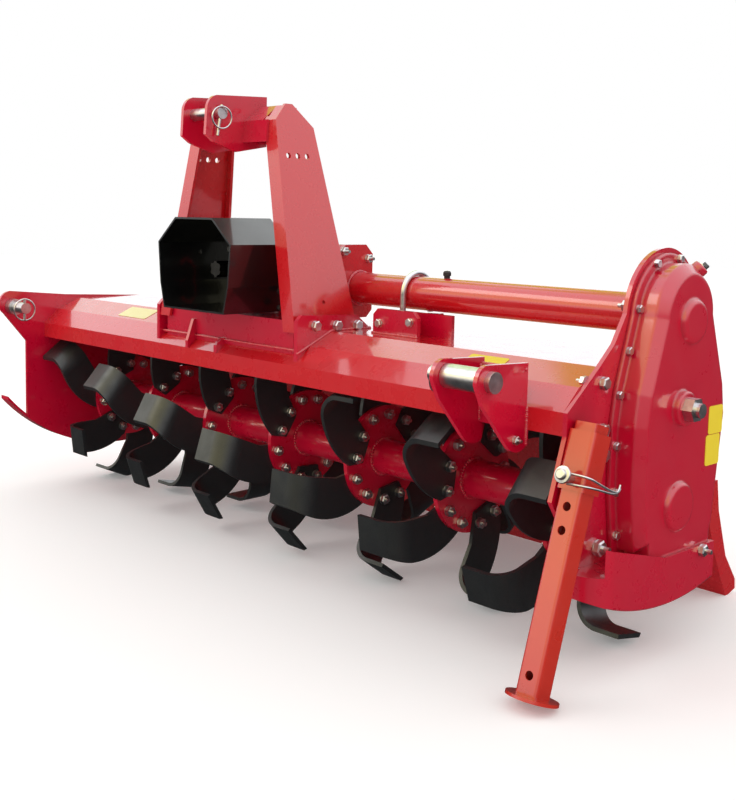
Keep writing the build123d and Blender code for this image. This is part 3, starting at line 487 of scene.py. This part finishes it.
# %% Lathe and wire bender
def add_piece(name, mesh, body, finish):
    """Put a finished mesh in the scene, on its body."""
    mesh.materials.clear()
    mesh.materials.append(finish)
    made = bpy.data.objects.new(name, mesh)
    bpy.context.scene.collection.objects.link(made)
    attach(made, body)
    print(name, len(mesh.polygons), "faces")


def turned(name, body, place, direction, profile_mm, finish, slot, sides=36):
    """A turned piece: its profile lists (radius, height) in mm from the foot up."""
    aim = Vector(direction).to_track_quat("Z", "Y").to_matrix()
    points, faces = [], []
    for radius, height in profile_mm:
        for i in range(sides):
            turn = 2 * pi * i / sides
            points.append(place + aim @ Vector((radius * cos(turn), radius * sin(turn), height)) / 1000)
    for row in range(len(profile_mm) - 1):
        for i in range(sides):
            j = (i + 1) % sides
            faces.append((row * sides + i, row * sides + j, (row + 1) * sides + j, (row + 1) * sides + i))
    faces.append(tuple(range(sides))[::-1])
    faces.append(tuple(range((len(profile_mm) - 1) * sides, len(profile_mm) * sides)))
    mesh = bpy.data.meshes.new(name)
    mesh.from_pydata(points, [], faces)
    add_piece(name, mesh, body, finish)


def wire(name, body, points, radius_mm, finish, closed=False):
    """Round wire bent along points; a closed one is a ring."""
    curve = bpy.data.curves.new(name, "CURVE")
    curve.dimensions = "3D"
    curve.bevel_depth, curve.bevel_resolution = radius_mm / 1000, 4
    curve.use_fill_caps = True
    spline = curve.splines.new("POLY" if closed else "NURBS")
    spline.points.add(len(points) - 1)
    for knot, point in zip(spline.points, points):
        knot.co = (*point, 1.0)
    spline.use_cyclic_u = closed
    if not closed:
        spline.order_u, spline.use_endpoint_u = 3, True
        spline.resolution_u = 8
    holder = bpy.data.objects.new(name + "_wire", curve)
    bpy.context.scene.collection.objects.link(holder)
    bpy.context.view_layer.update()
    mesh = bpy.data.meshes.new_from_object(holder.evaluated_get(bpy.context.evaluated_depsgraph_get()))
    bpy.data.objects.remove(holder)
    for face in mesh.polygons:
        face.use_smooth = True
    add_piece(name, mesh, body, finish)


def ring_points(x_mm, y_mm, z_mm, radius_mm, lean=0.0):
    """Points of a ring that stands across X, turned about Z by lean degrees."""
    points = []
    for i in range(48):
        turn = 2 * pi * i / 48
        across = radius_mm * cos(turn)
        points.append(at(x_mm + across * sin(radians(lean)), y_mm + across * cos(radians(lean)),
                         z_mm + radius_mm * sin(turn)))
    return points


# %% [markdown]
# Each hitch pin is held by a linch pin: a short shank through the end of the hitch pin, and a spring
# ring that snaps over it.  The rings hang a little below the middle of their pins.

# %% Linch pins
top_pin_low, top_pin_high = box_mm("top_pin")
top_y, top_z = (top_pin_low.y + top_pin_high.y) / 2, (top_pin_low.z + top_pin_high.z) / 2
top_x = top_pin_high.x - 6
wire("top_ring", "frame", ring_points(top_pin_high.x + 3, top_y - 4, top_z - 10, 22, lean=8), 1.7,
     zinc_plate, closed=True)
wire("top_linch", "frame",
     [at(top_x, top_y - 8, top_z - 46), at(top_x, top_y - 3, top_z - 12), at(top_x, top_y + 2, top_z + 16)],
     3.4, zinc_plate)
left_pin_low, left_pin_high = box_mm("left_lower_pin")
left_y, left_z = (left_pin_low.y + left_pin_high.y) / 2, (left_pin_low.z + left_pin_high.z) / 2
left_x = left_pin_high.x - 8
wire("left_ring", "frame", ring_points(left_x, left_y, left_z - 4, 27, lean=6), 1.9, zinc_plate,
     closed=True)
wire("left_linch", "frame",
     [at(left_x, left_y, left_z - 30), at(left_x, left_y, left_z), at(left_x, left_y, left_z + 24)],
     3.6, zinc_plate)
right_pin_low, right_pin_high = box_mm("right_lower_pin")
right_y, right_z = (right_pin_low.y + right_pin_high.y) / 2, (right_pin_low.z + right_pin_high.z) / 2
right_x = right_pin_low.x + 8
wire("right_ring", "frame", ring_points(right_x, right_y, right_z - 8, 20, lean=-10), 1.8, zinc_plate,
     closed=True)
wire("right_linch", "frame",
     [at(right_x, right_y, right_z - 26), at(right_x, right_y, right_z), at(right_x, right_y, right_z + 20)],
     3.4, zinc_plate)

# %% [markdown]
# The parking stand's lock pin has a bail of spring wire: both wires start at the pin's head and run
# back round the socket to a hook.  A round washer sits under the pin's head.

# %% Bail of the lock pin
lock_low, lock_high = box_mm("stand_pin")
lock_x = box_mm("stand_socket")[1].x
lock_y, lock_z = (lock_low.y + lock_high.y) / 2, (lock_low.z + lock_high.z) / 2
for label, side_step, drop in (("upper", 0, 8), ("lower", 6, -8)):
    wire("bail_" + label, "frame",
         [at(lock_low.x + 8, lock_y - 4, lock_z + drop), at(lock_x + 8, lock_y + 2, lock_z + drop),
          at(lock_x + 12, lock_y + 34, lock_z + drop / 2 - 14),
          at(lock_x + 12, lock_y + 64, lock_z - 26 + drop / 4),
          at(lock_x + 10, lock_y + 84, lock_z - 30), at(lock_x + 9, lock_y + 90, lock_z - 18 - side_step)],
         1.9, zinc_plate)
lock_direction = (0, -0.953, 0.302)
lock_head = at((lock_low.x + lock_high.x) / 2, lock_low.y + 3, lock_high.z - 4)
turned("lock_washer", "frame", lock_head, lock_direction,
       ((0.01, 0), (13, 0), (14, 1.2), (14, 3.4), (13, 4.6), (9, 5.2), (8.2, 9.5), (6.5, 10.6), (0.01, 11)),
       zinc_plate, "zinc_plate")

# %% [markdown]
# Oil goes in through a plug on a boss at the top of the gear case, and a breather sits on the drive
# tube.  The gearbox has a filler cap on its lid, and the nut of the idler stands on a thick washer.

# %% Plugs, breather and washers
idler_low, idler_high = box_mm("idler_nut")
face_x = idler_low.x - 12.0
plug_way = Vector((0.55, 0.45, 0.70)).normalized()
plug_foot = at(face_x - 22, 104, 410)
turned("filler_boss", "frame", plug_foot, plug_way,
       ((14, 0), (14, 11), (12.8, 13.4), (10, 14), (0.01, 14)), casting_enamel, "cast_iron_paint")
bolts("filler_plug", "frame", [(plug_foot + plug_way * 0.014, plug_way, 16.0)], zinc_plate, stud_length=0.001)
turned("breather", "frame", at(373, 34, 372), (0, 0, 1),
       ((6, 0), (6, 6), (8, 7), (8, 13), (6, 16), (0.01, 17)), black_oxide, "black_guard")
turned("gearbox_cap", "frame", at(gearbox_x + 30, -40, gearbox_high.z - 1), (0, 0, 1),
       ((16, 0), (16, 7), (13, 9), (13, 17), (11, 19), (0.01, 19)), black_oxide, "black_guard")
idler_foot = at(idler_low.x - 3.6, (idler_low.y + idler_high.y) / 2, (idler_low.z + idler_high.z) / 2)
turned("idler_washer", "frame", idler_foot, (1, 0, 0),
       ((25, 0), (25.5, 0.8), (25.5, 2.9), (25, 3.4), (0.01, 3.6)), zinc_plate, "zinc_plate")
turned("bearing_cap", "frame", at(left_face - 0.5, 0, 0), (-1, 0, 0),
       ((46, 0), (46, 3), (43, 5), (30, 6), (26, 9), (0.01, 10)), casting_enamel, "cast_iron_paint")

# %% [markdown]
# Plates of vinyl mark the places where notes would be.  They stay blank.  Each is a thin sheet with
# rounded corners, laid on its face, so one function takes the corner, the two sides and the finish.

# %% Blank plates
def blank_plate(name, corner, along, across, finish, rounding_mm=5.0):
    """A thin sheet from a corner along two sides, with rounded corners."""
    along, across = Vector(along) / 1000, Vector(across) / 1000
    a, b = along.normalized(), across.normalized()
    lift = a.cross(b) * 0.0006
    bend = rounding_mm / 1000
    outline = []
    for centre, start in ((a * bend + b * bend, pi),
                          (along - a * bend + b * bend, 1.5 * pi),
                          (along + across - a * bend - b * bend, 0.0),
                          (across + a * bend - b * bend, 0.5 * pi)):
        for i in range(7):
            turn = start + i * pi / 12
            outline.append(corner + centre + a * bend * cos(turn) + b * bend * sin(turn))
    count = len(outline)
    points = outline + [point + lift for point in outline]
    faces = [tuple(range(count))[::-1], tuple(range(count, 2 * count))]
    faces += [(i, (i + 1) % count, count + (i + 1) % count, count + i) for i in range(count)]
    mesh = bpy.data.meshes.new(name)
    mesh.from_pydata(points, [], faces)
    add_piece(name, mesh, "frame", finish)


blank_plate("case_plate_upper", at(face_x + 0.2, 132, 132), (0, 46, 0), (0, 0, 49), yellow_vinyl)
blank_plate("case_plate_lower", at(face_x + 0.2, 126, 78), (0, 46, 0), (0, 0, 53), yellow_vinyl)
slope = Vector((0, 60, 27)).normalized()
blank_plate("deck_plate_right", at(566, -152, 236.9), (84, 0, 0), slope * 44, yellow_vinyl)
blank_plate("deck_plate_left", at(-540, -152, 236.9), (120, 0, 0), slope * 46, pale_vinyl)

# %% [markdown]
# Steel plates are joined by fillet welds, whose beads show through the paint as a row of ripples.  A
# Geometry Nodes tree lays small round beads along a path at a fixed step, turns each to follow the path,
# sizes each a little by a fixed seed, and realizes them.

# %% Weld beads
def weld_tree(name, finish):
    """A node tree that lays beads of weld along its input edges."""
    tree = bpy.data.node_groups.new(name, "GeometryNodeTree")
    tree.interface.new_socket("Geometry", in_out="INPUT", socket_type="NodeSocketGeometry")
    for label, value in (("Bead radius", 0.0034), ("Bead step", 0.0032)):
        socket = tree.interface.new_socket(label, in_out="INPUT", socket_type="NodeSocketFloat")
        socket.default_value = value
    tree.interface.new_socket("Geometry", in_out="OUTPUT", socket_type="NodeSocketGeometry")
    given = add_node(tree, "NodeGroupInput").outputs
    result = add_node(tree, "NodeGroupOutput")
    path = add_node(tree, "GeometryNodeMeshToCurve", None, {"Mesh": given["Geometry"]})
    steps = add_node(tree, "GeometryNodeCurveToPoints", {"mode": "LENGTH"},
                     {"Curve": path.outputs["Curve"], "Length": given["Bead step"]})
    bead = add_node(tree, "GeometryNodeMeshIcoSphere", None,
                    {"Radius": given["Bead radius"], "Subdivisions": 2})
    chance = add_node(tree, "FunctionNodeRandomValue", {"data_type": "FLOAT"}, {"Seed": 3})
    chance.inputs[2].default_value = 0.85
    chance.inputs[3].default_value = 1.12
    placed = add_node(tree, "GeometryNodeInstanceOnPoints", None,
                      {"Points": steps.outputs["Points"], "Instance": bead.outputs["Mesh"],
                       "Rotation": steps.outputs["Rotation"], "Scale": chance.outputs[1]})
    real = add_node(tree, "GeometryNodeRealizeInstances", None, {"Geometry": placed.outputs["Instances"]})
    smooth = add_node(tree, "GeometryNodeSetShadeSmooth", None, {"Geometry": real.outputs["Geometry"]})
    painted = add_node(tree, "GeometryNodeSetMaterial", None,
                       {"Geometry": smooth.outputs["Geometry"], "Material": finish})
    tree.links.new(painted.outputs["Geometry"], result.inputs["Geometry"])
    return tree


def welds(name, body, paths, finish, slot, **sizes):
    """Weld beads along several paths, each a list of points."""
    points, edges = [], []
    for path in paths:
        start = len(points)
        points.extend(path)
        edges.extend((start + i, start + i + 1) for i in range(len(path) - 1))
    mesh = bpy.data.meshes.new(name + "_paths")
    mesh.from_pydata(points, edges, [])
    holder = bpy.data.objects.new(name + "_holder", mesh)
    bpy.context.scene.collection.objects.link(holder)
    modifier = holder.modifiers.new("welds", "NODES")
    modifier.node_group = weld_tree(name + "_tree", finish)
    for label, value in sizes.items():
        set_input(modifier, label.replace("_", " ").capitalize(), value)
    bpy.context.view_layer.update()
    bead_mesh = bpy.data.meshes.new_from_object(holder.evaluated_get(bpy.context.evaluated_depsgraph_get()))
    bpy.data.objects.remove(holder)
    add_piece(name, bead_mesh, body, finish)


def across_x(first_x, last_x, y_mm, z_mm):
    """A straight path along X."""
    return [at(first_x, y_mm, z_mm), at(last_x, y_mm, z_mm)]


def around_x(x_mm, y_mm, z_mm, radius_mm, step_deg):
    """A path once round an axis along X."""
    return [at(x_mm, y_mm + radius_mm * cos(radians(a)), z_mm + radius_mm * sin(radians(a)))
            for a in range(0, 360 + step_deg, step_deg)]


bracket_low, bracket_high = box_mm("right_lower_bracket")
tube_y, tube_z, tube_weld_mm, rotor_weld_mm = 34, 340, 35.5, 38
frame_paths = [
    across_x(bracket_low.x, bracket_high.x, -206, 257),
    [at(bracket_high.x, -200, 137), at(bracket_high.x, -200, 194)],
    [at(bracket_low.x + 8, -209, 165), at(bracket_low.x + 8, -209, 254)],
    [at(bracket_high.x - 8, -209, 165), at(bracket_high.x - 8, -209, 254)],
    across_x(saddle_low.x, saddle_low.x + 120, -51, 261),
    [at(right_bracket_face, -190, 220), at(right_bracket_face, -160, 234), at(right_bracket_face, -100, 261),
     at(right_bracket_face, 8, 261)],
    across_x(left_bracket_face + 12, right_bracket_face - 12, -181, 224),
    around_x(plate_face - 7.6, tube_y, tube_z, tube_weld_mm, 15),
    around_x(tube_flange + 13, tube_y, tube_z, tube_weld_mm, 15),
]
welds("frame_welds", "frame", frame_paths, red_enamel, "red_paint")
rotor_paths = []
for number in range(flange_count):
    flange_x = (number - (flange_count - 1) / 2) * flange_pitch_mm
    for way in (-1, 1):
        rotor_paths.append(around_x(flange_x + way * (flange_half_mm + 0.5), 0, 0, rotor_weld_mm, 10))
welds("rotor_welds", "rotor", rotor_paths, red_enamel, "red_paint", bead_step=0.0060, bead_radius=0.0042)

# %% [markdown]
# The camera stands where a person would, a little above the deck, to the right and in front.

# %% Camera
camera_data = bpy.data.cameras.new("camera")
camera = bpy.data.objects.new("camera", camera_data)
bpy.context.scene.collection.objects.link(camera)
turn, pitch, roll = radians(47.9), radians(5.9), radians(1.0)
forward = Vector((-sin(turn) * cos(pitch), cos(turn) * cos(pitch), -sin(pitch)))
level_right = Vector((cos(turn), sin(turn), 0.0))
level_up = level_right.cross(forward)
right = level_right * cos(roll) + level_up * sin(roll)
up = level_up * cos(roll) - level_right * sin(roll)
stand_point = at(1818.2, -1607.4, 496.7)
camera.matrix_world = Matrix.Translation(stand_point) @ Matrix((right, up, -forward)).transposed().to_4x4()
camera_data.sensor_fit = "HORIZONTAL"
camera_data.sensor_width = 36.0
camera_data.lens = 54.0
camera_data.shift_x = 0.0656
camera_data.shift_y = -0.0986
camera_data.clip_start, camera_data.clip_end = 0.05, 60.0
bpy.context.scene.camera = camera
print("camera at", [round(v, 3) for v in stand_point])

# %% [markdown]
# Glossy paint shows the sky more than its own colour, so the sky is made for the reflections.  It grows
# brighter overhead, which turns faces that lean back pale and keeps upright ones deep.  It is brighter
# at the left, where the masts face, and it has a golden patch high at the back, as trees would give.
# Only glossy rays see this sky: the machine is lit by an even one, and the camera sees plain white.
# The floor is plain and pale, and it doesn't show in the paint.

# %% Floor and light
floor_mesh = bpy.data.meshes.new("floor")
reach, floor_z = 14.0, -0.0005
floor_corners = [(-reach, -reach), (reach, -reach), (reach, reach), (-reach, reach)]
floor_mesh.from_pydata([(x, y, floor_z) for x, y in floor_corners], [], [(0, 1, 2, 3)])
floor = bpy.data.objects.new("floor", floor_mesh)
bpy.context.scene.collection.objects.link(floor)
floor_material, _, floor_shader, _ = new_finish("pale_floor")
floor_shader.inputs["Base Color"].default_value = (0.92, 0.92, 0.92, 1.0)
floor_shader.inputs["Emission Color"].default_value = (1.0, 1.0, 1.0, 1.0)
floor_shader.inputs["Emission Strength"].default_value = 0.16
floor_shader.inputs["Roughness"].default_value = 0.9
floor_shader.inputs["Specular IOR Level"].default_value = 0.1
floor_mesh.materials.append(floor_material)
floor.visible_glossy = False

world = bpy.data.worlds.new("overcast")
bpy.context.scene.world = world
world.use_nodes = True
sky = world.node_tree
sky.nodes.clear()
direction = add_node(sky, "ShaderNodeTexCoord").outputs["Generated"]
parts = add_node(sky, "ShaderNodeSeparateXYZ", None, {"Vector": direction}).outputs


def sky_step(value, start, end, low=0.0, high=1.0):
    """A soft step of one direction of the sky from low to high."""
    step = add_node(sky, "ShaderNodeMapRange", {"interpolation_type": "SMOOTHSTEP"},
                    {"Value": value, "From Min": start, "From Max": end, "To Min": low, "To Max": high})
    return step.outputs["Result"]


def sky_sum(operation, first, second):
    """The sky's values added or multiplied."""
    return add_node(sky, "ShaderNodeMath", {"operation": operation}, {0: first, 1: second}).outputs[0]


cloud_colour, tree_colour = (0.95, 0.97, 1.0, 1.0), (0.40, 0.62, 0.07, 1.0)
field_colour = (0.95, 0.85, 0.40, 1.0)
horizon = sky_step(parts["Z"], -0.06, 0.30, 0.05, 1.25)
overhead = sky_step(parts["Z"], 0.30, 0.60, 0.0, 0.45)
left_side = sky_sum("MULTIPLY", sky_step(parts["X"], -0.05, -0.50, 0.0, 0.85),
                    sky_step(parts["Z"], -0.05, 0.05))
left_side = sky_sum("MULTIPLY", left_side, sky_step(parts["Z"], 0.40, 0.15))
ahead = sky_sum("MULTIPLY", sky_step(parts["Y"], -0.30, -0.80), sky_step(parts["Z"], 0.02, 0.30))
sides = sky_sum("ADD", left_side, sky_sum("MULTIPLY", ahead, 0.5))
glow = sky_sum("ADD", sky_sum("ADD", horizon, overhead), sides)
patches = add_node(sky, "ShaderNodeTexNoise", None, {"Vector": direction, "Scale": 6.0, "Detail": 1.5})
golden = sky_sum("MULTIPLY", sky_step(patches.outputs["Fac"], 0.40, 0.50), sky_step(parts["Z"], 0.30, 0.50))
golden = sky_sum("MULTIPLY", golden, sky_step(parts["X"], -0.15, -0.40))
golden = sky_sum("MULTIPLY", golden, sky_step(parts["Y"], 0.0, 0.20))
cloud = add_node(sky, "ShaderNodeMix", {"data_type": "RGBA"},
                 {"Factor": golden, 6: cloud_colour, 7: tree_colour})
field = add_node(sky, "ShaderNodeMix", {"data_type": "RGBA"},
                 {"Factor": ahead, 6: cloud.outputs[2], 7: field_colour})
mirrored = add_node(sky, "ShaderNodeBackground", None, {"Color": field.outputs[2], "Strength": glow})
lit = add_node(sky, "ShaderNodeBackground", None, {"Color": (1.0, 0.98, 0.96, 1.0), "Strength": 1.0})
seen = add_node(sky, "ShaderNodeBackground", None, {"Color": (1.0, 1.0, 1.0, 1.0), "Strength": 1.0})
rays = add_node(sky, "ShaderNodeLightPath").outputs
lights = add_node(sky, "ShaderNodeMixShader", None,
                  {0: rays["Is Glossy Ray"], 1: lit.outputs["Background"], 2: mirrored.outputs["Background"]})
both = add_node(sky, "ShaderNodeMixShader", None,
                {0: rays["Is Camera Ray"], 1: lights.outputs["Shader"], 2: seen.outputs["Background"]})
add_node(sky, "ShaderNodeOutputWorld", None, {"Surface": both.outputs["Shader"]})


def area_light(name, place, target, size, power, colour):
    """A soft rectangular lamp aimed at a point."""
    lamp = bpy.data.lights.new(name, "AREA")
    lamp.shape, lamp.size, lamp.size_y = "RECTANGLE", size[0], size[1]
    lamp.energy, lamp.color = power, colour
    holder = bpy.data.objects.new(name, lamp)
    holder.location = place
    holder.rotation_euler = (Vector(target) - Vector(place)).to_track_quat("-Z", "Y").to_euler()
    bpy.context.scene.collection.objects.link(holder)


machine_middle = (0, 0, 0.4)
area_light("key", place=(-2.2, -3.0, 3.4), target=machine_middle, size=(2.4, 1.6), power=30,
           colour=(1.0, 0.97, 0.94))
area_light("fill", place=(4.2, -4.2, 1.2), target=machine_middle, size=(3.0, 2.0), power=6,
           colour=(1.0, 0.92, 0.84))
bpy.context.scene.view_settings.view_transform = "Standard"
bpy.context.scene.view_settings.look = "None"
bpy.context.scene.view_settings.exposure = 0.0
